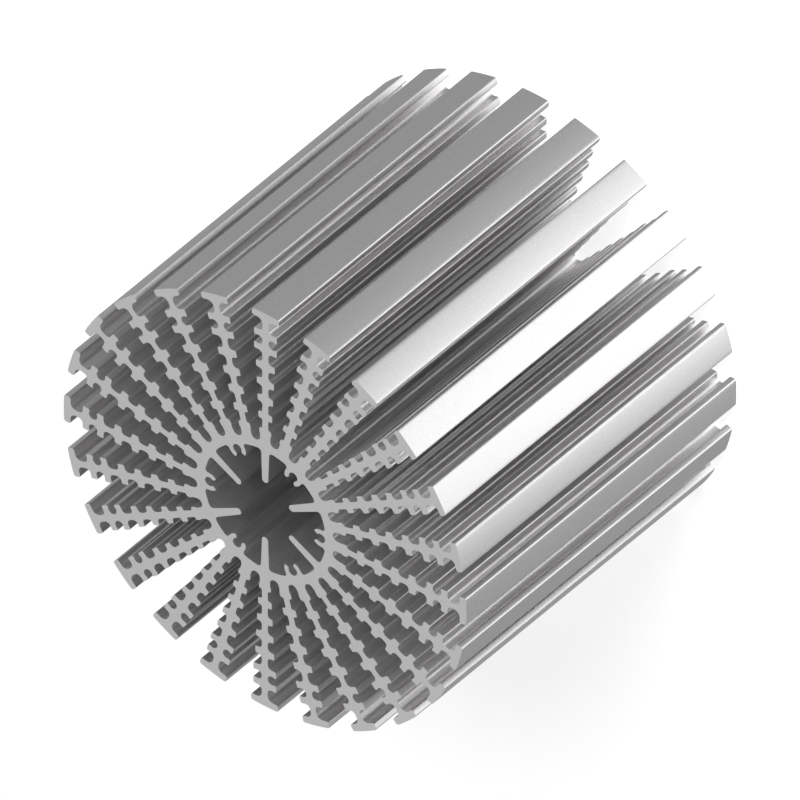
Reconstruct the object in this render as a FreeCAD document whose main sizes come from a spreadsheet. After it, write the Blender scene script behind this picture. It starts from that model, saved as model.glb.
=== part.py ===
"""Extruded aluminium heat sink: one length of a round, finned extrusion.

The section is a tube with 24 ribbed outer fins, 6 plain inner fins and 6 open screw channels. It is drawn
across the Z axis and sawn off at z = 0 and z = stock_length, so the sink stands on its sawn end. Millimetres
and degrees throughout.
"""

import FreeCAD
import Part
import Sketcher

import math
import os

# The driving sizes. Radial sizes build outwards from the bore and inwards from the outer radius. A thickness
# or a span is measured across a fin, from flank to flank, and a width along it.
SIZES = {
    "stock_length": 100.0,
    "outer_radius": 58.9,
    "fin_count": 24,
    # the tube that carries the fins: its wall lies between the bore and the bottoms of the gaps
    "bore_radius": 17.75,
    "tube_wall": 2.25,
    # outer fin, from its root outwards: a thick root that ends in a step, then ribs across a thin web
    "root_thickness": 3.0,
    "root_height": 2.4,
    "step_width": 1.7,
    "step_thickness": 3.45,
    "web_thickness": 1.75,
    "first_groove_width": 2.9,
    "rib_width": 2.0,
    "rib_spacing": 5.0,
    "rib_first_span": 4.0,
    "rib_span_growth": 0.5,
    # outer fin, from its cap inwards: cap, groove, then a block with a round-floored channel in each flank
    "cap_thickness": 2.0,
    "cap_span": 7.9,
    "cap_groove_width": 3.55,
    "block_width": 6.1,
    "block_span": 6.65,
    "flank_channel_width": 2.15,
    "flank_channel_floor_radius": 1.6,
    # inner fin
    "inner_fin_count": 6,
    "inner_fin_height": 9.55,
    "inner_tip_thickness": 1.8,
    "inner_fin_draft": 1.9,
    # screw channel along the bore, for a 3 mm thread-forming screw
    "screw_channel_inset": 1.45,
    "screw_channel_radius": 1.25,
    "screw_channel_wall": 1.25,
    "screw_channel_mouth": 73.0,
}

# A cut runs this far past the metal that it removes.
CUT_MARGIN = 1.0

# The extrusion is made this much too long at each end, and then sawn.
SAW_ALLOWANCE = 2.0

# Sketcher's numbers for the points of an edge, for a sketch's X axis and for its origin
START, END, CENTRE = 1, 2, 3
X_AXIS = -1
ORIGIN = (-1, 1)


class Dim:
    """A length or an angle: its value now, and its formula in the sheet."""

    def __init__(self, value, formula):
        self.value = float(value)
        self.formula = formula

    @staticmethod
    def of(other):
        return other if isinstance(other, Dim) else Dim(other, str(other))

    def __add__(self, other):
        other = Dim.of(other)
        return Dim(self.value + other.value, f"({self.formula} + {other.formula})")

    def __sub__(self, other):
        other = Dim.of(other)
        return Dim(self.value - other.value, f"({self.formula} - {other.formula})")

    def __mul__(self, other):
        other = Dim.of(other)
        return Dim(self.value * other.value, f"({self.formula} * {other.formula})")

    def __truediv__(self, other):
        other = Dim.of(other)
        return Dim(self.value / other.value, f"({self.formula} / {other.formula})")


def size(name):
    """The sheet's cell of this name."""
    return Dim(SIZES[name], f"Sizes.{name}")


def half(name):
    return size(name) / 2


def gap_root_radius():
    """From the axis to the bottom of a gap between outer fins, which is the outside of the tube."""
    return size("bore_radius") + size("tube_wall")


def step_inner_radius():
    return gap_root_radius() + size("root_height")


def step_outer_radius():
    return step_inner_radius() + size("step_width")


def cap_inner_radius():
    return size("outer_radius") - size("cap_thickness")


def block_outer_radius():
    return cap_inner_radius() - size("cap_groove_width")


def block_inner_radius():
    return block_outer_radius() - size("block_width")


def rib_radius(number):
    """From the axis to the middle of a rib, counted from 0 at the step."""
    first = step_outer_radius() + size("first_groove_width") + half("rib_width")
    return first + size("rib_spacing") * number


def rib_count():
    """As many ribs as leave a groove below the block."""
    room = block_inner_radius() - rib_radius(0) - size("rib_spacing") + half("rib_width")
    return 1 + max(0, math.floor(room.value / SIZES["rib_spacing"]))


def wall_middle_radius():
    """From the axis to the middle of the tube's wall, where everything inside the bore is rooted."""
    return size("bore_radius") + half("tube_wall")


def screw_circle_radius():
    """From the axis to the middle of a screw channel."""
    return size("bore_radius") - size("screw_channel_inset")


def screw_boss_radius():
    return size("screw_channel_radius") + size("screw_channel_wall")


def half_pitch(count_name):
    """The angle from one of a ring's members to the middle of the gap beside it."""
    return Dim.of(180) / size(count_name)


def fill_sheet(doc):
    """Write every driving size into the sheet, one alias to a row."""
    sheet = doc.addObject("Spreadsheet::Sheet", "Sizes")
    for row, (name, value) in enumerate(SIZES.items(), start=1):
        sheet.set(f"A{row}", name)
        sheet.set(f"B{row}", str(value))
        sheet.setAlias(f"B{row}", name)
    doc.recompute()


def origin_feature(body, role):
    """The body's own plane or axis that has this role."""
    return next(f for f in body.Origin.OriginFeatures if f.Role == role)


class Section:
    """A sketch across the axis. Its X axis is a radius of the sink, which may be turned about Z."""

    def __init__(self, body, name, turned=Dim.of(0), height=Dim.of(-SAW_ALLOWANCE)):
        self.sketch = body.newObject("Sketcher::SketchObject", name)
        self.sketch.AttachmentSupport = [(origin_feature(body, "XY_Plane"), "")]
        self.sketch.MapMode = "FlatFace"
        rotation = FreeCAD.Rotation(FreeCAD.Vector(0, 0, 1), turned.value)
        self.sketch.AttachmentOffset = FreeCAD.Placement(FreeCAD.Vector(0, 0, height.value), rotation)
        self.sketch.setExpression("AttachmentOffset.Base.z", height.formula)
        self.sketch.setExpression("AttachmentOffset.Rotation.Angle", turned.formula)

    def line(self, start, end):
        return self.sketch.addGeometry(Part.LineSegment(FreeCAD.Vector(*start), FreeCAD.Vector(*end)))

    def arc(self, centre, radius, first, last):
        """An arc, anticlockwise from its first angle to its last."""
        circle = Part.Circle(FreeCAD.Vector(*centre), FreeCAD.Vector(0, 0, 1), radius)
        return self.sketch.addGeometry(Part.ArcOfCircle(circle, math.radians(first), math.radians(last)))

    def circle(self, radius):
        """A circle about the axis."""
        edge = self.sketch.addGeometry(Part.Circle(FreeCAD.Vector(), FreeCAD.Vector(0, 0, 1), radius.value))
        self.hold("Coincident", edge, CENTRE, *ORIGIN)
        self.measure("Radius", [edge], radius)

    def hold(self, kind, *where):
        """Add a constraint that has no size."""
        self.sketch.addConstraint(Sketcher.Constraint(kind, *where))

    def measure(self, kind, where, dim):
        """Add a dimension and bind it to its formula."""
        value = math.radians(dim.value) if kind == "Angle" else dim.value
        index = self.sketch.addConstraint(Sketcher.Constraint(kind, *where, value))
        self.sketch.setExpression(f"Constraints[{index}]", dim.formula)

    def place(self, edge, point, along=None, across=None):
        """Dimension a point from the axis, along the section's X axis and across it."""
        if along is not None:
            self.measure("DistanceX", [*ORIGIN, edge, point], along)
        if across is not None:
            self.measure("DistanceY", [*ORIGIN, edge, point], across)

    def flanks(self, begin, finish):
        """Two mirrored lines away from an end above and below the X axis, and the edge that closes them."""
        upper = self.line(begin, finish)
        lower = self.line((begin[0], -begin[1]), (finish[0], -finish[1]))
        closing = self.line(finish, (finish[0], -finish[1]))
        self.hold("Coincident", upper, END, closing, START)
        self.hold("Coincident", lower, END, closing, END)
        self.hold("Symmetric", upper, END, lower, END, X_AXIS)
        return upper, lower


class TwinPen:
    """Draws one flank of a fin and its mirror image below the X axis, edge by edge from a base line."""

    def __init__(self, section, along, across):
        self.section = section
        self.at = (along.value, across.value)
        base = section.line((self.at[0], -self.at[1]), self.at)
        section.place(base, END, along, across)
        section.hold("Symmetric", base, START, base, END, X_AXIS)
        self.upper = (base, END)
        self.lower = (base, START)

    def advance(self, upper, upper_ends, lower, lower_ends, at):
        """Join a new pair of edges to the last pair and move on to their far ends."""
        self.section.hold("Coincident", *self.upper, upper, upper_ends[0])
        self.section.hold("Coincident", *self.lower, lower, lower_ends[0])
        self.upper = (upper, upper_ends[1])
        self.lower = (lower, lower_ends[1])
        self.at = at

    def lines(self, to):
        """A line and its twin to a point that is still free."""
        upper = self.section.line(self.at, to)
        lower = self.section.line((self.at[0], -self.at[1]), (to[0], -to[1]))
        self.advance(upper, (START, END), lower, (START, END), to)
        return upper, lower

    def line_to(self, along, across):
        """A line to a dimensioned corner."""
        upper, lower = self.lines((along.value, across.value))
        self.section.place(upper, END, along, across)
        self.section.hold("Symmetric", upper, END, lower, END, X_AXIS)

    def line_until(self, to, square):
        """A level or upright line that ends where the next arc begins."""
        for edge in self.lines(to):
            self.section.hold(square, edge)

    def sag(self, along, floor, radius, half_width):
        """An arc that sags to the height of a floor, as wide as the gap between its neighbours."""
        centre = (along, floor + radius)
        lean = math.degrees(math.asin(half_width.value / radius.value))
        middle = (centre[0].value, centre[1].value)
        upper = self.section.arc(middle, radius.value, 270 - lean, 270 + lean)
        lower = self.section.arc((middle[0], -middle[1]), radius.value, 90 - lean, 90 + lean)
        self.section.measure("Radius", [upper], radius)
        self.section.hold("Equal", upper, lower)
        self.section.place(upper, CENTRE, *centre)
        self.section.hold("Symmetric", upper, CENTRE, lower, CENTRE, X_AXIS)
        end = (middle[0] + half_width.value, middle[1] - radius.value * math.cos(math.radians(lean)))
        self.advance(upper, (START, END), lower, (END, START), end)

    def close_with_arc(self, radius):
        """Close the outline with an arc about the axis."""
        reach = math.degrees(math.asin(self.at[1] / radius.value))
        arc = self.section.arc((0, 0), radius.value, -reach, reach)
        self.section.hold("Coincident", arc, CENTRE, *ORIGIN)
        self.section.measure("Radius", [arc], radius)
        self.section.hold("Coincident", *self.upper, arc, END)
        self.section.hold("Coincident", *self.lower, arc, START)


def extrude(body, kind, section, name):
    """A Pad or a Pocket of a section, upwards over the whole extrusion before it is sawn."""
    length = size("stock_length") + 2 * SAW_ALLOWANCE
    feature = body.newObject(f"PartDesign::{kind}", name)
    feature.Profile = section.sketch
    feature.Refine = False
    feature.Reversed = kind == "Pocket"
    feature.setExpression("Length", length.formula)
    return feature


def repeat_round(body, feature, count_name, name):
    """Repeat a feature evenly round the axis."""
    pattern = body.newObject("PartDesign::PolarPattern", name)
    pattern.Originals = [feature]
    pattern.Axis = (origin_feature(body, "Z_Axis"), [""])
    pattern.Angle = 360
    pattern.Refine = False
    pattern.Occurrences = SIZES[count_name]
    pattern.setExpression("Occurrences", size(count_name).formula)
    body.Tip = pattern


def add_tube(body):
    """The tube, thick enough for now to hold the roots of the outer fins up to the middle of their steps."""
    section = Section(body, "TubeSection")
    section.circle(step_inner_radius() + half("step_width"))
    section.circle(size("bore_radius"))
    extrude(body, "Pad", section, "Tube")


def cut_gap_roots(body):
    """The round-bottomed gaps between the fin roots. A gap's flanks are parallel to the fins beside it."""
    lean = half_pitch("fin_count")
    section = Section(body, "GapRootSection", turned=lean)
    slope = math.radians(lean.value)
    flank_offset = half("root_thickness")
    bottom = gap_root_radius()
    mouth = step_outer_radius() + CUT_MARGIN
    radius = (bottom.value * math.sin(slope) - flank_offset.value) / (1 - math.sin(slope))
    centre = (bottom.value + radius, 0)
    touch = (centre[0] - radius * math.sin(slope), radius * math.cos(slope))
    corner = (mouth.value, touch[1] + (mouth.value - touch[0]) * math.tan(slope))

    round_end = section.arc(centre, radius, 90 + lean.value, 270 - lean.value)
    upper, lower = section.flanks(touch, corner)
    section.hold("PointOnObject", round_end, CENTRE, X_AXIS)
    section.hold("Tangent", round_end, START, upper, START)
    section.hold("Tangent", round_end, END, lower, START)
    section.place(upper, END, along=mouth)
    section.measure("Angle", [upper], lean)
    section.measure("Distance", [*ORIGIN, upper], flank_offset)
    lowest = section.sketch.addGeometry(Part.Point(FreeCAD.Vector(bottom.value, 0)), True)
    section.hold("PointOnObject", lowest, START, X_AXIS)
    section.hold("PointOnObject", lowest, START, round_end)
    section.place(lowest, START, along=bottom)
    cut = extrude(body, "Pocket", section, "GapRoot")
    repeat_round(body, cut, "fin_count", "GapRoots")


def add_inner_fins(body):
    """Plain fins that point at the axis: round-tipped and slightly drafted."""
    section = Section(body, "InnerFinSection")
    tip_radius = half("inner_tip_thickness")
    tip_centre = size("bore_radius") - size("inner_fin_height") + tip_radius
    draft = size("inner_fin_draft")
    seat = wall_middle_radius()
    slope = math.radians(draft.value)
    touch = (tip_centre.value - tip_radius.value * math.sin(slope), tip_radius.value * math.cos(slope))
    corner = (seat.value, touch[1] + (seat.value - touch[0]) * math.tan(slope))

    tip = section.arc((tip_centre.value, 0), tip_radius.value, 90 + draft.value, 270 - draft.value)
    upper, lower = section.flanks(touch, corner)
    section.place(tip, CENTRE, along=tip_centre)
    section.measure("Radius", [tip], tip_radius)
    section.hold("PointOnObject", tip, CENTRE, X_AXIS)
    section.hold("Tangent", tip, START, upper, START)
    section.hold("Tangent", tip, END, lower, START)
    section.measure("Angle", [upper], draft)
    section.place(upper, END, along=seat)
    fin = extrude(body, "Pad", section, "InnerFin")
    repeat_round(body, fin, "inner_fin_count", "InnerFins")


def add_screw_bosses(body):
    """The metal round the screw channels, midway between the inner fins: round-nosed, with straight sides."""
    section = Section(body, "ScrewBossSection", turned=half_pitch("inner_fin_count"))
    centre = screw_circle_radius()
    radius = screw_boss_radius()
    seat = wall_middle_radius()
    nose = section.arc((centre.value, 0), radius.value, 90, 270)
    upper, lower = section.flanks((centre.value, radius.value), (seat.value, radius.value))
    section.place(nose, CENTRE, along=centre)
    section.measure("Radius", [nose], radius)
    section.hold("PointOnObject", nose, CENTRE, X_AXIS)
    section.hold("Tangent", nose, START, upper, START)
    section.hold("Tangent", nose, END, lower, START)
    section.hold("Horizontal", upper)
    section.place(upper, END, along=seat)
    boss = extrude(body, "Pad", section, "ScrewBoss")
    repeat_round(body, boss, "inner_fin_count", "ScrewBosses")


def cut_screw_channels(body):
    """The channels that take a screw at either end, each open to the bore through a wedge-shaped mouth."""
    section = Section(body, "ScrewChannelSection", turned=half_pitch("inner_fin_count"))
    centre = screw_circle_radius()
    radius = size("screw_channel_radius")
    outside = centre - screw_boss_radius() - CUT_MARGIN
    side = Dim.of(180) - half("screw_channel_mouth")
    turn = math.radians(side.value)
    lip = (centre.value + radius.value * math.cos(turn), radius.value * math.sin(turn))
    corner = (outside.value, (outside.value - centre.value) * math.tan(turn))

    hole = section.arc((centre.value, 0), radius.value, -side.value, side.value)
    upper, lower = section.flanks(lip, corner)
    section.place(hole, CENTRE, along=centre)
    section.measure("Radius", [hole], radius)
    section.hold("PointOnObject", hole, CENTRE, X_AXIS)
    section.hold("Coincident", hole, END, upper, START)
    section.hold("Coincident", hole, START, lower, START)
    section.hold("PointOnObject", hole, CENTRE, upper)
    section.hold("PointOnObject", hole, CENTRE, lower)
    section.measure("Angle", [upper], side)
    section.place(upper, END, along=outside)
    cut = extrude(body, "Pocket", section, "ScrewChannel")
    repeat_round(body, cut, "inner_fin_count", "ScrewChannels")


def draw_ribs(pen, web):
    """The ribs, each spanning a little more than the one before."""
    for number in range(rib_count()):
        inner = rib_radius(number) - half("rib_width")
        outer = rib_radius(number) + half("rib_width")
        top = (size("rib_first_span") + size("rib_span_growth") * number) / 2
        pen.line_to(inner, web)
        pen.line_to(inner, top)
        pen.line_to(outer, top)
        pen.line_to(outer, web)


def draw_block(pen, web):
    """The block below the cap. The channel in each of its flanks is as deep as the face of the web."""
    top = half("block_span")
    middle = block_inner_radius() + half("block_width")
    half_mouth = half("flank_channel_width")
    floor_radius = size("flank_channel_floor_radius")
    rise = floor_radius.value - math.sqrt(floor_radius.value**2 - half_mouth.value**2)
    pen.line_to(block_inner_radius(), web)
    pen.line_to(block_inner_radius(), top)
    pen.line_to(middle - half_mouth, top)
    pen.line_until(((middle - half_mouth).value, web.value + rise), "Vertical")
    pen.sag(middle, web, floor_radius, half_mouth)
    pen.line_to(middle + half_mouth, top)
    pen.line_to(block_outer_radius(), top)
    pen.line_to(block_outer_radius(), web)


def add_fins(body):
    """The outer fins: a step, a web with ribs, a channelled block and a cap flush with the sink's outside."""
    section = Section(body, "FinSection")
    step = half("step_thickness")
    web = half("web_thickness")
    cap = half("cap_span")
    outside = size("outer_radius")
    pen = TwinPen(section, step_inner_radius(), step)
    pen.line_to(step_outer_radius(), step)
    pen.line_to(step_outer_radius(), web)
    draw_ribs(pen, web)
    draw_block(pen, web)
    pen.line_to(cap_inner_radius(), web)
    pen.line_to(cap_inner_radius(), cap)
    pen.line_until((math.sqrt(outside.value**2 - cap.value**2), cap.value), "Horizontal")
    pen.close_with_arc(outside)
    fin = extrude(body, "Pad", section, "Fin")
    repeat_round(body, fin, "fin_count", "Fins")


def saw_ends(body):
    """Saw both ends square, which leaves the sink at its length, from z = 0 upwards."""
    for name, height, upwards in (("Foot", Dim.of(0), False), ("Head", size("stock_length"), True)):
        section = Section(body, f"{name}Section", height=height)
        section.circle(size("outer_radius") + CUT_MARGIN)
        cut = body.newObject("PartDesign::Pocket", f"Saw{name}")
        cut.Profile = section.sketch
        cut.Refine = False
        cut.Reversed = upwards
        cut.Length = SAW_ALLOWANCE + CUT_MARGIN


def build(doc, body):
    """Make the features in order. Stop at a pad that adds nothing or a cut that removes nothing."""
    steps = (
        (add_tube, 1),
        (cut_gap_roots, -1),
        (add_inner_fins, 1),
        (add_screw_bosses, 1),
        (cut_screw_channels, -1),
        (add_fins, 1),
        (saw_ends, -1),
    )
    volume = 0.0
    for step, sign in steps:
        step(body)
        doc.recompute()
        change = body.Shape.Volume - volume
        if change * sign <= 0:
            raise RuntimeError(f"{step.__name__} changed the volume by {change}")
        volume = body.Shape.Volume


def check(doc, body):
    """Stop if any feature failed or the sink isn't one valid solid."""
    for thing in doc.Objects:
        if "Invalid" in thing.State or "Error" in thing.State:
            raise RuntimeError(f"{thing.Name} is {thing.State}")
    shape = body.Shape
    if shape.isNull() or not shape.isValid() or len(shape.Solids) != 1:
        raise RuntimeError("the heat sink isn't one valid solid")


def main():
    doc = FreeCAD.newDocument("HeatSink")
    fill_sheet(doc)
    body = doc.addObject("PartDesign::Body", "HeatSink")
    body.Label = "heat_sink"
    build(doc, body)
    check(doc, body)
    os.makedirs("parts", exist_ok=True)
    body.Shape.exportStep(f"parts/{body.Label}.step")


main()
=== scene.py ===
"""The looks of an extruded aluminium heat sink.

The extrusion is drawn as a maker would draw its die: half a fin and half a bore bay in outline, with every fillet
and rounded corner, then mirrored, repeated round the axis and pulled up to its length. Two finishes dress it: the
drawn surface that the die leaves, and the sawn ends. Drawing sizes are in millimetres and the scene is in metres.
"""

import logging
import math
from dataclasses import dataclass, field
from enum import Enum

import bpy
from mathutils import Matrix, Vector

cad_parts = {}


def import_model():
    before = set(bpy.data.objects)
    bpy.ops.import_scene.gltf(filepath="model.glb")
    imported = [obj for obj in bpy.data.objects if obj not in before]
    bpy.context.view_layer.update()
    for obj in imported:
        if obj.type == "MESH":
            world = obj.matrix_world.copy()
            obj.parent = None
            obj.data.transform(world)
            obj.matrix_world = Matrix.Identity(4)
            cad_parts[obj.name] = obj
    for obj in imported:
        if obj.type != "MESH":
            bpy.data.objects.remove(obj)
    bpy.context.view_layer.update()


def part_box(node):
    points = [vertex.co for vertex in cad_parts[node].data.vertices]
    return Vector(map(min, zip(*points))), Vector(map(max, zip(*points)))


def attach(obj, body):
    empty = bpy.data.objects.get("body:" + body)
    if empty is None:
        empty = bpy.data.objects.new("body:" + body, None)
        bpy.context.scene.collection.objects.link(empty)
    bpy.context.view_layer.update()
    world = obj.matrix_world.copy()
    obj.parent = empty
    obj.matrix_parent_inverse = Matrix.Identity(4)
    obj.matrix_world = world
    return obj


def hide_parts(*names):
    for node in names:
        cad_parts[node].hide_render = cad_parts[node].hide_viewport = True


LOG = logging.getLogger("heat_sink")
MM = 0.001
NODE = "heat_sink"

# Vertices nearer to each other than this are one, in millimetres.
WELD = 1e-3
# The middle of the tube's wall, where the fins' bays meet the bore's, in millimetres from the axis.
WALL_MIDDLE = 18.875
# A face whose normal has more than this along Z is one of the sawn ends.
FACES_ALONG = 0.5
# Nearly all the values of a noise texture lie between these two.
NOISE_LOW, NOISE_HIGH = 0.3, 0.7
# How strongly the marks on both finishes tilt the surface.
MARK_STRENGTH = 0.2


class Surface(Enum):
    """The extrusion's two kinds of surface. Each value is the index of the surface's material slot."""

    DRAWN = 0
    SAWN = 1


class OutlinePen:
    """Draws an outline in the XY plane, in millimetres, one corner at a time.

    The pen leaves a chain of vertices behind it. A corner that is to be rounded is noted as it is passed, and is
    rounded once the outline is closed and filled.
    """

    def __init__(self, name: str, start: tuple[float, float]) -> None:
        """Put the pen down.

        Args:
            name: Name of the new object.
            start: First corner.
        """
        bpy.ops.object.select_all(action="DESELECT")
        bpy.ops.mesh.primitive_plane_add(size=1.0, location=(0.0, 0.0, 0.0))
        self.piece: bpy.types.Object = bpy.context.object
        self.piece.name = name
        bpy.ops.object.mode_set(mode="EDIT")
        bpy.ops.mesh.select_mode(type="VERT")
        bpy.ops.mesh.select_all(action="SELECT")
        bpy.ops.mesh.merge(type="CENTER")
        bpy.ops.transform.translate(value=(*start, 0.0))
        self.at: tuple[float, float] = start
        self.rounded: dict[tuple[float, int], list[tuple[float, float]]] = {}

    def line_to(self, x: float, y: float, rounding: float = 0.0, steps: int = 0) -> None:
        """Draw a straight edge.

        Args:
            x: Where the edge ends.
            y: Where the edge ends.
            rounding: Radius of the corner at its end, or 0 for a sharp one.
            steps: Number of edges that stand for that radius.
        """
        move = (x - self.at[0], y - self.at[1], 0.0)
        bpy.ops.mesh.extrude_region_move(TRANSFORM_OT_translate={"value": move})
        self.at = (x, y)
        self.note_rounding(rounding, steps)

    def arc_about(
        self, x: float, y: float, degrees: float, steps: int, rounding: float = 0.0, corner_steps: int = 0
    ) -> None:
        """Draw an arc.

        Args:
            x: The arc's centre.
            y: The arc's centre.
            degrees: How far it turns, anticlockwise where positive.
            steps: Number of edges along it.
            rounding: Radius of the corner at its end, or 0 for a sharp one.
            corner_steps: Number of edges that stand for that radius.
        """
        turn = math.radians(degrees)
        # the spin operator turns clockwise for a positive angle when it runs without a window
        bpy.ops.mesh.spin(steps=steps, angle=-turn, center=(x, y, 0.0), axis=(0.0, 0.0, 1.0), dupli=False)
        away = complex(self.at[0] - x, self.at[1] - y) * complex(math.cos(turn), math.sin(turn))
        self.at = (x + away.real, y + away.imag)
        self.note_rounding(rounding, corner_steps)

    def note_rounding(self, rounding: float, steps: int) -> None:
        """Note the corner under the pen as one to round.

        Args:
            rounding: Radius of the corner, or 0 for a sharp one.
            steps: Number of edges that stand for it.
        """
        if rounding > 0.0:
            self.rounded.setdefault((rounding, steps), []).append(self.at)

    def close(self) -> bpy.types.Object:
        """Fill the outline and round its noted corners.

        Returns:
            The filled outline, a flat object.
        """
        bpy.ops.mesh.select_all(action="SELECT")
        bpy.ops.mesh.edge_face_add()
        for (radius, steps), corners in self.rounded.items():
            select_vertices(self.piece, corners)
            bpy.ops.mesh.bevel(
                offset=radius, offset_type="OFFSET", segments=steps, profile=0.5, affect="VERTICES", clamp_overlap=True
            )
        bpy.ops.object.mode_set(mode="OBJECT")
        return self.piece


def select_vertices(piece: bpy.types.Object, places: list[tuple[float, float]]) -> None:
    """Select the vertices at some places of the XY plane and nothing else, in edit mode.

    Args:
        piece: The object that is being edited.
        places: Where the vertices are.
    """
    bpy.ops.mesh.select_all(action="DESELECT")
    bpy.ops.object.mode_set(mode="OBJECT")
    for vertex in piece.data.vertices:
        vertex.select = any(math.dist(vertex.co[:2], place) < WELD for place in places)
    bpy.ops.object.mode_set(mode="EDIT")


def repeat_round(piece: bpy.types.Object, count: int) -> None:
    """Mirror a half bay across the X axis and repeat the whole bay round the Z axis.

    Args:
        piece: The half bay, above the X axis.
        count: Number of bays in a full turn.
    """
    bpy.ops.object.select_all(action="DESELECT")
    bpy.context.view_layer.objects.active = piece
    piece.select_set(True)
    mirror = piece.modifiers.new("twin", "MIRROR")
    mirror.use_axis = (False, True, False)
    mirror.use_mirror_merge = True
    mirror.merge_threshold = WELD
    bpy.ops.object.modifier_apply(modifier=mirror.name)
    bpy.ops.object.mode_set(mode="EDIT")
    bpy.ops.mesh.select_all(action="SELECT")
    pitch = 2.0 * math.pi / count
    bpy.ops.mesh.spin(steps=count - 1, angle=pitch * (count - 1), center=(0, 0, 0), axis=(0, 0, 1), dupli=True)
    bpy.ops.object.mode_set(mode="OBJECT")


@dataclass
class Rounding:
    """The radii of the extrusion's corners, and the number of edges that stand for each kind."""

    corner: float = 0.36
    corner_steps: int = 3
    cap_corner: float = 0.5
    step_corner: float = 0.16
    foot_steps: int = 5
    cap_foot_steps: int = 7
    rib_feet: tuple[float, ...] = (0.75, 0.87, 1.05, 1.05)
    block_foot: float = 1.15
    step_foot: float = 0.75
    cap_foot: float = 1.5
    inner_foot: float = 1.0


@dataclass
class FinBay:
    """Half a fin with half the gap beside it, from the middle of the tube's wall outwards.

    The fields are the sizes of the extrusion's die, in millimetres and measured from the axis or from the middle of
    the fin.
    """

    rounding: Rounding
    count: int = 24
    gap_root: float = 20.0
    root_half: float = 1.5
    step_inner: float = 22.4
    step_outer: float = 24.1
    step_half: float = 1.725
    step_lean: float = 0.25
    web_half: float = 0.875
    first_rib: float = 28.0
    rib_pitch: float = 5.0
    rib_count: int = 4
    rib_half_width: float = 1.0
    rib_first_half: float = 2.0
    rib_growth: float = 0.25
    block_inner: float = 47.25
    block_outer: float = 53.35
    block_half: float = 3.325
    channel_radius: float = 1.25
    channel_mouth_half: float = 1.075
    channel_steps: int = 24
    cap_inner: float = 56.9
    cap_outer: float = 58.9
    cap_half: float = 3.95
    cap_arc_steps: int = 4
    gap_arc_steps: int = 9

    def draw_ribs(self, pen: OutlinePen) -> None:
        """Draw the ribs along the web.

        Args:
            pen: The pen, at the foot of the step.
        """
        corner, edges = self.rounding.corner, self.rounding.corner_steps
        for number in range(self.rib_count):
            middle = self.first_rib + self.rib_pitch * number
            top = self.rib_first_half + self.rib_growth * number
            foot, foot_edges = self.rounding.rib_feet[number], self.rounding.foot_steps
            pen.line_to(middle - self.rib_half_width, self.web_half, foot, foot_edges)
            pen.line_to(middle - self.rib_half_width, top, corner, edges)
            pen.line_to(middle + self.rib_half_width, top, corner, edges)
            pen.line_to(middle + self.rib_half_width, self.web_half, foot, foot_edges)

    def draw_block(self, pen: OutlinePen) -> None:
        """Draw the block with the round channel in its flank.

        Args:
            pen: The pen, at the foot of the last rib.
        """
        corner, edges = self.rounding.corner, self.rounding.corner_steps
        foot, foot_edges = self.rounding.block_foot, self.rounding.foot_steps
        middle = (self.block_inner + self.block_outer) / 2
        centre = self.web_half + self.channel_radius
        lean = math.degrees(math.asin(self.channel_mouth_half / self.channel_radius))
        lip = centre + self.channel_radius * math.cos(math.radians(lean))
        pen.line_to(self.block_inner, self.web_half, foot, foot_edges)
        pen.line_to(self.block_inner, self.block_half, corner, edges)
        pen.line_to(middle - self.channel_mouth_half, self.block_half, corner, edges)
        pen.line_to(middle - self.channel_mouth_half, lip)
        pen.arc_about(middle, centre, 360.0 - 2.0 * lean, self.channel_steps)
        pen.line_to(middle + self.channel_mouth_half, self.block_half, corner, edges)
        pen.line_to(self.block_outer, self.block_half, corner, edges)
        pen.line_to(self.block_outer, self.web_half, foot, foot_edges)

    def draw_cap(self, pen: OutlinePen) -> None:
        """Draw the cap, whose outside is part of the extrusion's cylinder.

        Args:
            pen: The pen, at the foot of the block.
        """
        corner, edges = self.rounding.cap_corner, self.rounding.corner_steps
        shoulder = math.sqrt(self.cap_outer**2 - self.cap_half**2)
        turn = math.degrees(math.asin(self.cap_half / self.cap_outer))
        pen.line_to(self.cap_inner, self.web_half, self.rounding.cap_foot, self.rounding.cap_foot_steps)
        pen.line_to(self.cap_inner, self.cap_half, corner, edges)
        pen.line_to(shoulder, self.cap_half, corner, edges)
        pen.arc_about(0.0, 0.0, -turn, self.cap_arc_steps)

    def draw(self) -> bpy.types.Object:
        """Draw the half bay as a flat outline.

        Returns:
            The half bay, from the middle of the gap to the middle of the fin.
        """
        slope = math.pi / self.count
        direction = (math.cos(slope), math.sin(slope))
        radius = (self.gap_root * math.sin(slope) - self.root_half) / (1.0 - math.sin(slope))
        centre = self.gap_root + radius
        pen = OutlinePen("fins", (WALL_MIDDLE, 0.0))
        pen.line_to(WALL_MIDDLE * direction[0], WALL_MIDDLE * direction[1])
        pen.line_to(self.gap_root * direction[0], self.gap_root * direction[1])
        # from the middle of the gap's floor round to the fin's flank
        turn = 90.0 - math.degrees(slope)
        pen.arc_about(centre * direction[0], centre * direction[1], turn, self.gap_arc_steps)
        soft, corner, edges = self.rounding.step_corner, self.rounding.corner, self.rounding.corner_steps
        pen.line_to(self.step_inner, self.root_half, soft, edges)
        pen.line_to(self.step_inner + self.step_lean, self.step_half, soft, edges)
        pen.line_to(self.step_outer, self.step_half, corner, edges)
        pen.line_to(self.step_outer, self.web_half, self.rounding.step_foot, self.rounding.foot_steps)
        self.draw_ribs(pen)
        self.draw_block(pen)
        self.draw_cap(pen)
        return pen.close()


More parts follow.
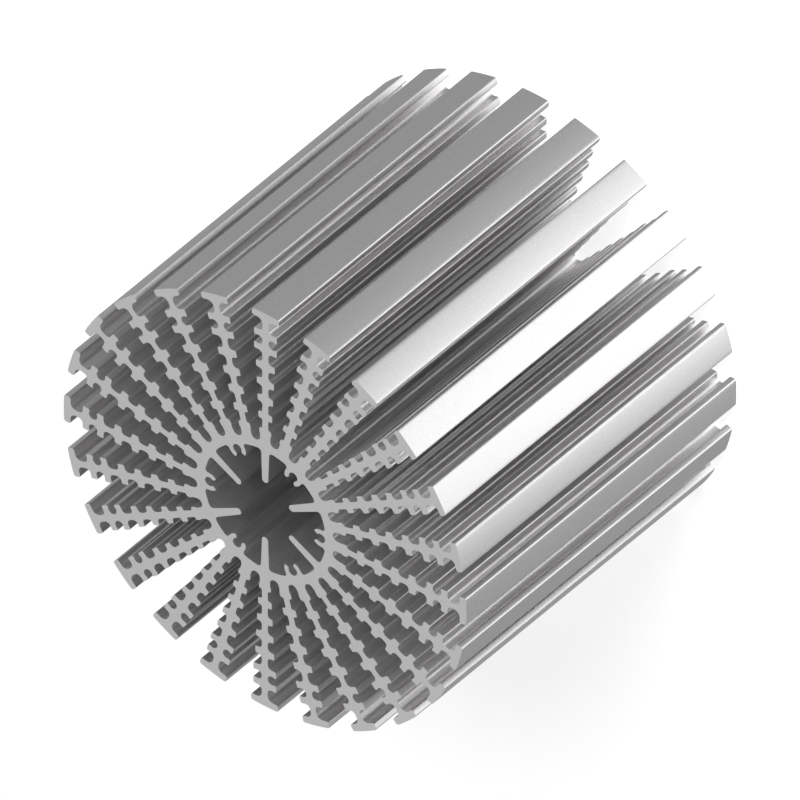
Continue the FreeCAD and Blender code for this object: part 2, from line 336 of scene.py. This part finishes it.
@dataclass
class BoreBay:
    """Half a bay of the bore: half an inner fin and half a screw channel, from the middle of the wall inwards."""

    rounding: Rounding
    count: int = 6
    bay_edges: int = 4
    bore: float = 17.75
    tip_reach: float = 8.2
    tip_radius: float = 0.9
    draft: float = 1.9
    tip_steps: int = 8
    channel_centre: float = 16.3
    channel_radius: float = 1.25
    channel_wall: float = 1.25
    channel_steps: int = 18
    mouth: float = 73.0
    lip_turn: float = 14.0
    nose_steps: int = 5
    bore_steps: int = 5
    foot_room: float = 1.1

    def turned(self, along: float, across: float) -> tuple[float, float]:
        """Turn a point of the screw channel's frame into the inner fin's.

        Args:
            along: Distance from the axis, along the radius through the channel.
            across: Distance from that radius, towards the inner fin where negative.

        Returns:
            The point in the frame of the inner fin.
        """
        turn = math.pi / self.count
        return (
            along * math.cos(turn) - across * math.sin(turn),
            along * math.sin(turn) + across * math.cos(turn),
        )

    def draw_inner_fin(self, pen: OutlinePen) -> None:
        """Draw the inner fin from its tip to its foot on the bore.

        Args:
            pen: The pen, at the middle of the wall on the inner fin's centre plane.
        """
        slope = math.radians(self.draft)
        tip_centre = self.tip_reach + self.tip_radius
        pen.line_to(self.tip_reach, 0.0)
        pen.arc_about(tip_centre, 0.0, -(90.0 - self.draft), self.tip_steps)
        # the flank meets the bore where its line, leaning by the draft, crosses the bore's circle
        offset = self.tip_radius - tip_centre * math.sin(slope)
        angle = slope + math.asin(offset / self.bore)
        foot = (self.bore * math.cos(angle), self.bore * math.sin(angle))
        pen.line_to(*foot, self.rounding.inner_foot, self.rounding.foot_steps)

    def draw_screw_channel(self, pen: OutlinePen) -> None:
        """Draw half of the open tube of the screw channel.

        Args:
            pen: The pen, at the foot of the inner fin.
        """
        outer = self.channel_radius + self.channel_wall
        half_mouth = math.radians(self.mouth / 2)
        reach = math.sqrt(self.bore**2 - outer**2)
        start = math.atan2(pen.at[1], pen.at[0])
        stop = math.pi / self.count - math.atan2(outer, reach)
        # the bore's first and last edges are long enough to take the fillets at their outer ends
        room = self.foot_room * self.rounding.inner_foot / self.bore
        first, last = start + room, stop - room
        pen.line_to(self.bore * math.cos(first), self.bore * math.sin(first))
        pen.arc_about(0.0, 0.0, math.degrees(last - first), self.bore_steps)
        pen.line_to(
            self.bore * math.cos(stop), self.bore * math.sin(stop), self.rounding.inner_foot, self.rounding.foot_steps
        )
        pen.line_to(*self.turned(self.channel_centre, -outer))
        centre = self.turned(self.channel_centre, 0.0)
        nose = 90.0 - self.mouth / 2
        pen.arc_about(*centre, -nose, self.nose_steps, self.rounding.corner, self.rounding.corner_steps)
        lip = self.channel_centre - self.channel_radius * math.cos(half_mouth)
        side = -self.channel_radius * math.sin(half_mouth)
        pen.line_to(*self.turned(lip, side), self.rounding.corner, self.rounding.corner_steps)
        pen.arc_about(*centre, self.lip_turn, 1)
        pen.arc_about(*centre, 180.0 - self.mouth / 2 - self.lip_turn, self.channel_steps)

    def draw(self) -> bpy.types.Object:
        """Draw the half bay as a flat outline.

        Returns:
            The half bay, from the inner fin's centre plane to the screw channel's.
        """
        pen = OutlinePen("bore", (WALL_MIDDLE, 0.0))
        self.draw_inner_fin(pen)
        self.draw_screw_channel(pen)
        pitch = math.pi / self.count / self.bay_edges
        for number in range(self.bay_edges, 0, -1):
            angle = pitch * number
            pen.line_to(WALL_MIDDLE * math.cos(angle), WALL_MIDDLE * math.sin(angle))
        return pen.close()


def noise(nodes: bpy.types.Nodes, density: float, detail: float) -> bpy.types.Node:
    """Add a noise texture.

    Args:
        nodes: The material's nodes.
        density: Number of its grains in a metre.
        detail: Number of finer layers on it.

    Returns:
        The texture.
    """
    texture = nodes.new("ShaderNodeTexNoise")
    texture.inputs["Scale"].default_value = density
    texture.inputs["Detail"].default_value = detail
    return texture


def spread(
    nodes: bpy.types.Nodes, links: bpy.types.NodeLinks, texture: bpy.types.Node, middle: float, reach: float
) -> bpy.types.NodeSocket:
    """Stretch a noise texture over a range of values.

    Args:
        nodes: The material's nodes.
        links: The material's links.
        texture: The noise texture.
        middle: The middle of the range.
        reach: How far the range goes to each side.

    Returns:
        The socket with the values.
    """
    scale = nodes.new("ShaderNodeMapRange")
    scale.inputs["From Min"].default_value = NOISE_LOW
    scale.inputs["From Max"].default_value = NOISE_HIGH
    scale.inputs["To Min"].default_value = middle - reach
    scale.inputs["To Max"].default_value = middle + reach
    links.new(texture.outputs["Fac"], scale.inputs["Value"])
    return scale.outputs["Result"]


@dataclass(frozen=True)
class DrawnFinish:
    """Bare aluminium as it leaves the die: satin, with a fine grain and faint lines along its length."""

    colour: tuple[float, float, float] = (0.84, 0.829, 0.832)
    roughness: float = 0.46
    grain_density: float = 3600.0
    grain_detail: float = 2.0
    grain_contrast: float = 0.08
    line_density: float = 1500.0
    line_detail: float = 3.0
    line_contrast: float = 0.01
    line_roughness: float = 0.012
    line_depth: float = 0.0000004

    def material(self) -> bpy.types.Material:
        """Build the finish.

        Returns:
            The material.
        """
        material = bpy.data.materials.new("drawn aluminium")
        material.use_nodes = True
        nodes, links = material.node_tree.nodes, material.node_tree.links
        shader = nodes["Principled BSDF"]
        shader.inputs["Metallic"].default_value = 1.0
        coordinates = nodes.new("ShaderNodeTexCoord")
        grain = noise(nodes, self.grain_density, self.grain_detail)
        links.new(coordinates.outputs["Object"], grain.inputs["Vector"])
        # the die draws its lines straight along Z, so their pattern doesn't change with Z
        flatten = nodes.new("ShaderNodeMapping")
        flatten.inputs["Scale"].default_value = (1.0, 1.0, 0.0)
        lines = noise(nodes, self.line_density, self.line_detail)
        links.new(coordinates.outputs["Object"], flatten.inputs["Vector"])
        links.new(flatten.outputs["Vector"], lines.inputs["Vector"])
        speckle = spread(nodes, links, grain, 1.0, self.grain_contrast)
        streak = spread(nodes, links, lines, 1.0, self.line_contrast)
        both = nodes.new("ShaderNodeMath")
        both.operation = "MULTIPLY"
        links.new(speckle, both.inputs[0])
        links.new(streak, both.inputs[1])
        tint = nodes.new("ShaderNodeVectorMath")
        tint.operation = "SCALE"
        tint.inputs[0].default_value = self.colour
        links.new(both.outputs["Value"], tint.inputs["Scale"])
        links.new(tint.outputs["Vector"], shader.inputs["Base Color"])
        links.new(spread(nodes, links, lines, self.roughness, self.line_roughness), shader.inputs["Roughness"])
        bump = nodes.new("ShaderNodeBump")
        bump.inputs["Strength"].default_value = MARK_STRENGTH
        bump.inputs["Distance"].default_value = self.line_depth
        links.new(lines.outputs["Fac"], bump.inputs["Height"])
        links.new(bump.outputs["Normal"], shader.inputs["Normal"])
        return material


@dataclass(frozen=True)
class SawnFinish:
    """Aluminium as the saw leaves it: matt, with a trace of the blade's arcs."""

    colour: tuple[float, float, float] = (0.80, 0.80, 0.80)
    roughness: float = 0.6
    blade_centre: tuple[float, float] = (-0.35, -0.12)
    mark_density: float = 2600.0
    mark_detail: float = 2.0
    mark_contrast: float = 0.015
    mark_roughness: float = 0.03
    mark_depth: float = 0.000002
    grain_density: float = 4200.0
    grain_detail: float = 2.0
    grain_contrast: float = 0.04

    def material(self) -> bpy.types.Material:
        """Build the finish.

        Returns:
            The material.
        """
        material = bpy.data.materials.new("sawn aluminium")
        material.use_nodes = True
        nodes, links = material.node_tree.nodes, material.node_tree.links
        shader = nodes["Principled BSDF"]
        shader.inputs["Metallic"].default_value = 1.0
        coordinates = nodes.new("ShaderNodeTexCoord")
        # the marks are arcs about the blade's centre, so their pattern follows the distance from it
        shift = nodes.new("ShaderNodeMapping")
        shift.inputs["Location"].default_value = (-self.blade_centre[0], -self.blade_centre[1], 0.0)
        reach = nodes.new("ShaderNodeVectorMath")
        reach.operation = "LENGTH"
        marks = noise(nodes, self.mark_density, self.mark_detail)
        marks.noise_dimensions = "1D"
        grain = noise(nodes, self.grain_density, self.grain_detail)
        links.new(coordinates.outputs["Object"], shift.inputs["Vector"])
        links.new(coordinates.outputs["Object"], grain.inputs["Vector"])
        links.new(shift.outputs["Vector"], reach.inputs[0])
        links.new(reach.outputs["Value"], marks.inputs["W"])
        both = nodes.new("ShaderNodeMath")
        both.operation = "MULTIPLY"
        links.new(spread(nodes, links, marks, 1.0, self.mark_contrast), both.inputs[0])
        links.new(spread(nodes, links, grain, 1.0, self.grain_contrast), both.inputs[1])
        tint = nodes.new("ShaderNodeVectorMath")
        tint.operation = "SCALE"
        tint.inputs[0].default_value = self.colour
        links.new(both.outputs["Value"], tint.inputs["Scale"])
        links.new(tint.outputs["Vector"], shader.inputs["Base Color"])
        links.new(spread(nodes, links, marks, self.roughness, self.mark_roughness), shader.inputs["Roughness"])
        bump = nodes.new("ShaderNodeBump")
        bump.inputs["Strength"].default_value = MARK_STRENGTH
        bump.inputs["Distance"].default_value = self.mark_depth
        links.new(marks.outputs["Fac"], bump.inputs["Height"])
        links.new(bump.outputs["Normal"], shader.inputs["Normal"])
        return material


@dataclass
class Extrusion:
    """The whole heat sink: the die's section, pulled up to its length, in its two finishes."""

    length: float
    rounding: Rounding = field(default_factory=Rounding)
    drawn: DrawnFinish = field(default_factory=DrawnFinish)
    sawn: SawnFinish = field(default_factory=SawnFinish)
    smooth_angle: float = 24.0

    def draw_section(self) -> bpy.types.Object:
        """Draw the whole section of the die.

        Returns:
            The section, a flat object.
        """
        fins = FinBay(self.rounding)
        bore = BoreBay(self.rounding)
        outside = fins.draw()
        repeat_round(outside, fins.count)
        inside = bore.draw()
        repeat_round(inside, bore.count)
        bpy.ops.object.select_all(action="DESELECT")
        inside.select_set(True)
        outside.select_set(True)
        bpy.context.view_layer.objects.active = outside
        bpy.ops.object.join()
        outside.name = "extrusion"
        return outside

    def pull(self, piece: bpy.types.Object) -> None:
        """Weld the section's bays and pull it up to its length, in metres.

        Args:
            piece: Not used; the pull works on the active object, which is the section.
        """
        bpy.ops.object.mode_set(mode="EDIT")
        bpy.ops.mesh.select_mode(type="VERT")
        bpy.ops.mesh.select_all(action="SELECT")
        bpy.ops.mesh.remove_doubles(threshold=WELD)
        bpy.ops.mesh.select_all(action="SELECT")
        bpy.ops.mesh.extrude_region_move(TRANSFORM_OT_translate={"value": (0.0, 0.0, self.length / MM)})
        bpy.ops.mesh.select_all(action="SELECT")
        bpy.ops.transform.resize(value=(MM, MM, MM), center_override=(0.0, 0.0, 0.0))
        bpy.ops.mesh.normals_make_consistent(inside=False)
        bpy.ops.object.mode_set(mode="OBJECT")

    def dress(self, piece: bpy.types.Object) -> None:
        """Give the piece its two finishes and smooth its rounded stretches.

        Args:
            piece: The pulled extrusion.
        """
        piece.data.materials.clear()
        piece.data.materials.append(self.drawn.material())
        piece.data.materials.append(self.sawn.material())
        for face in piece.data.polygons:
            surface = Surface.SAWN if abs(face.normal.z) > FACES_ALONG else Surface.DRAWN
            face.material_index = surface.value
        bpy.ops.object.select_all(action="DESELECT")
        piece.select_set(True)
        bpy.context.view_layer.objects.active = piece
        bpy.ops.object.shade_smooth_by_angle(angle=math.radians(self.smooth_angle))
        # the flats keep their own direction, so only the rounded corners between them catch the light
        flats = piece.modifiers.new("flats", "WEIGHTED_NORMAL")
        flats.mode = "FACE_AREA"
        flats.keep_sharp = True
        bpy.ops.object.modifier_apply(modifier=flats.name)

    def build(self) -> bpy.types.Object:
        """Draw, pull and dress the extrusion.

        Returns:
            The finished piece, in place of the node.
        """
        piece = self.draw_section()
        self.pull(piece)
        self.dress(piece)
        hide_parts(NODE)
        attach(piece, "root")
        return piece


@dataclass
class Camera:
    """The photograph's view: parallel, along a line and with an up direction that were fitted to it."""

    right: tuple[float, float, float] = (0.6807, -0.3912, -0.6202)
    up: tuple[float, float, float] = (0.0349, 0.8618, -0.5048)
    back: tuple[float, float, float] = (0.7317, 0.3228, 0.6004)
    view_width: float = 0.18366
    distance: float = 0.8
    pan: tuple[float, float] = (0.00023, -0.00032)

    def place(self, target: Vector) -> None:
        """Add the camera and make it the scene's own.

        Args:
            target: What the middle of the picture shows.
        """
        data = bpy.data.cameras.new("camera")
        data.type = "ORTHO"
        data.ortho_scale = self.view_width
        camera = bpy.data.objects.new("camera", data)
        bpy.context.scene.collection.objects.link(camera)
        turn = Matrix((self.right, self.up, self.back)).transposed()
        camera.rotation_mode = "QUATERNION"
        camera.rotation_quaternion = turn.to_quaternion()
        across, upwards = Vector(self.right) * self.pan[0], Vector(self.up) * self.pan[1]
        camera.location = target + Vector(self.back) * self.distance + across + upwards
        bpy.context.scene.camera = camera


@dataclass(frozen=True)
class Lamp:
    """One soft lamp, aimed at the middle of the heat sink."""

    name: str
    azimuth: float
    elevation: float
    distance: float
    size: float
    watts: float

    def place(self, target: Vector) -> None:
        """Add the lamp.

        Args:
            target: What it is aimed at.
        """
        data = bpy.data.lights.new(self.name, "AREA")
        data.shape = "DISK"
        data.size = self.size
        data.energy = self.watts
        lamp = bpy.data.objects.new(self.name, data)
        bpy.context.scene.collection.objects.link(lamp)
        azimuth, elevation = math.radians(self.azimuth), math.radians(self.elevation)
        away = Vector(
            (
                math.cos(azimuth) * math.cos(elevation),
                math.sin(azimuth) * math.cos(elevation),
                math.sin(elevation),
            )
        )
        lamp.location = target + away * self.distance
        lamp.rotation_mode = "QUATERNION"
        lamp.rotation_quaternion = away.to_track_quat("Z", "Y")
        lamp.visible_camera = False


def mix(
    nodes: bpy.types.Nodes,
    links: bpy.types.NodeLinks,
    factor: bpy.types.NodeSocket,
    first: float | bpy.types.NodeSocket,
    second: float | bpy.types.NodeSocket,
) -> bpy.types.NodeSocket:
    """Choose between two values.

    Args:
        nodes: The world's nodes.
        links: The world's links.
        factor: 0 for the first value and 1 for the second.
        first: A number or a socket.
        second: A number or a socket.

    Returns:
        The socket with the value.
    """
    choice = nodes.new("ShaderNodeMix")
    choice.data_type = "FLOAT"
    links.new(factor, choice.inputs["Factor"])
    for name, value in (("A", first), ("B", second)):
        if isinstance(value, bpy.types.NodeSocket):
            links.new(value, choice.inputs[name])
        else:
            choice.inputs[name].default_value = value
    return choice.outputs["Result"]


@dataclass
class Studio:
    """A pale floor, soft lamps and a pale surround.

    The surround is white to the camera. In the metal it is a pale studio that is brighter above than below, and the
    two levels blend into each other across the horizon. The low lamp is below the floor, which lets its light pass.
    """

    lamps: tuple[Lamp, ...] = (
        Lamp("low_softbox", azimuth=-2.0, elevation=-42.0, distance=0.35, size=0.5, watts=0.7),
        Lamp("high_softbox", azimuth=40.0, elevation=48.0, distance=1.7, size=0.5, watts=8.2),
    )
    floor_span: float = 6.0
    floor_paint: float = 0.9
    floor_white: float = 0.80
    surround_low: float = 0.314
    surround_high: float = 0.57
    surround_even: float = 0.08
    horizon_reach: float = 0.3

    def lay_floor(self) -> None:
        """Lay the floor, which is white to the camera and takes the lamps' shadows."""
        bpy.ops.object.select_all(action="DESELECT")
        bpy.ops.mesh.primitive_plane_add(size=self.floor_span, location=(0.0, 0.0, 0.0))
        floor = bpy.context.object
        floor.name = "floor"
        material = bpy.data.materials.new("floor")
        material.use_nodes = True
        nodes, links = material.node_tree.nodes, material.node_tree.links
        nodes.clear()
        output = nodes.new("ShaderNodeOutputMaterial")
        paint = nodes.new("ShaderNodeBsdfDiffuse")
        paint.inputs["Color"].default_value = (self.floor_paint, self.floor_paint, self.floor_paint, 1.0)
        glow = nodes.new("ShaderNodeEmission")
        glow.inputs["Strength"].default_value = self.floor_white
        both = nodes.new("ShaderNodeAddShader")
        links.new(paint.outputs["BSDF"], both.inputs[0])
        links.new(glow.outputs["Emission"], both.inputs[1])
        links.new(both.outputs["Shader"], output.inputs["Surface"])
        floor.data.materials.append(material)
        floor.visible_diffuse = False
        floor.visible_glossy = False
        floor.visible_transmission = False
        floor.visible_shadow = False

    def light_surround(self) -> None:
        """Make the world: white where the camera looks, and the surround's own level in the metal."""
        world = bpy.data.worlds.new("surround")
        bpy.context.scene.world = world
        world.use_nodes = True
        nodes, links = world.node_tree.nodes, world.node_tree.links
        background = nodes["Background"]
        background.inputs["Color"].default_value = (1.0, 1.0, 1.0, 1.0)
        direction = nodes.new("ShaderNodeTexCoord")
        parts = nodes.new("ShaderNodeSeparateXYZ")
        level = nodes.new("ShaderNodeMapRange")
        level.inputs["From Min"].default_value = -self.horizon_reach
        level.inputs["From Max"].default_value = self.horizon_reach
        level.inputs["To Min"].default_value = self.surround_low
        level.inputs["To Max"].default_value = self.surround_high
        path = nodes.new("ShaderNodeLightPath")
        mirrored = nodes.new("ShaderNodeMath")
        mirrored.operation = "MAXIMUM"
        metal = mix(nodes, links, mirrored.outputs["Value"], self.surround_even, level.outputs["Result"])
        shown = mix(nodes, links, path.outputs["Is Camera Ray"], metal, 1.0)
        links.new(direction.outputs["Generated"], parts.inputs["Vector"])
        links.new(parts.outputs["Z"], level.inputs["Value"])
        links.new(path.outputs["Is Glossy Ray"], mirrored.inputs[0])
        links.new(path.outputs["Is Transmission Ray"], mirrored.inputs[1])
        links.new(shown, background.inputs["Strength"])

    def build(self, target: Vector) -> None:
        """Lay the floor and place the lights.

        Args:
            target: What the lamps are aimed at.
        """
        self.lay_floor()
        self.light_surround()
        for lamp in self.lamps:
            lamp.place(target)


def corners(bounds: tuple[Vector, Vector]) -> list[list[float]]:
    """A box's two corners as plain lists.

    Args:
        bounds: The low and the high corner.
    """
    return [list(corner) for corner in bounds]


def triangles(piece: bpy.types.Object) -> int:
    """Number of triangles of a mesh.

    Args:
        piece: The object with the mesh.

    Returns:
        How many triangles its faces make.
    """
    return sum(len(face.vertices) - 2 for face in piece.data.polygons)


def main() -> None:
    """Dress the heat sink and set up the photograph's view of it."""
    logging.basicConfig(level=logging.INFO, format="%(message)s")
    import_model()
    low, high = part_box(NODE)
    middle = (Vector(low) + Vector(high)) / 2
    piece = Extrusion(length=high[2] - low[2]).build()
    LOG.info("extrusion: %d faces, %d triangles", len(piece.data.polygons), triangles(piece))
    Camera().place(middle)
    Studio().build(middle)
    bpy.context.scene.view_settings.view_transform = "Standard"


if __name__ == "__main__":
    main()
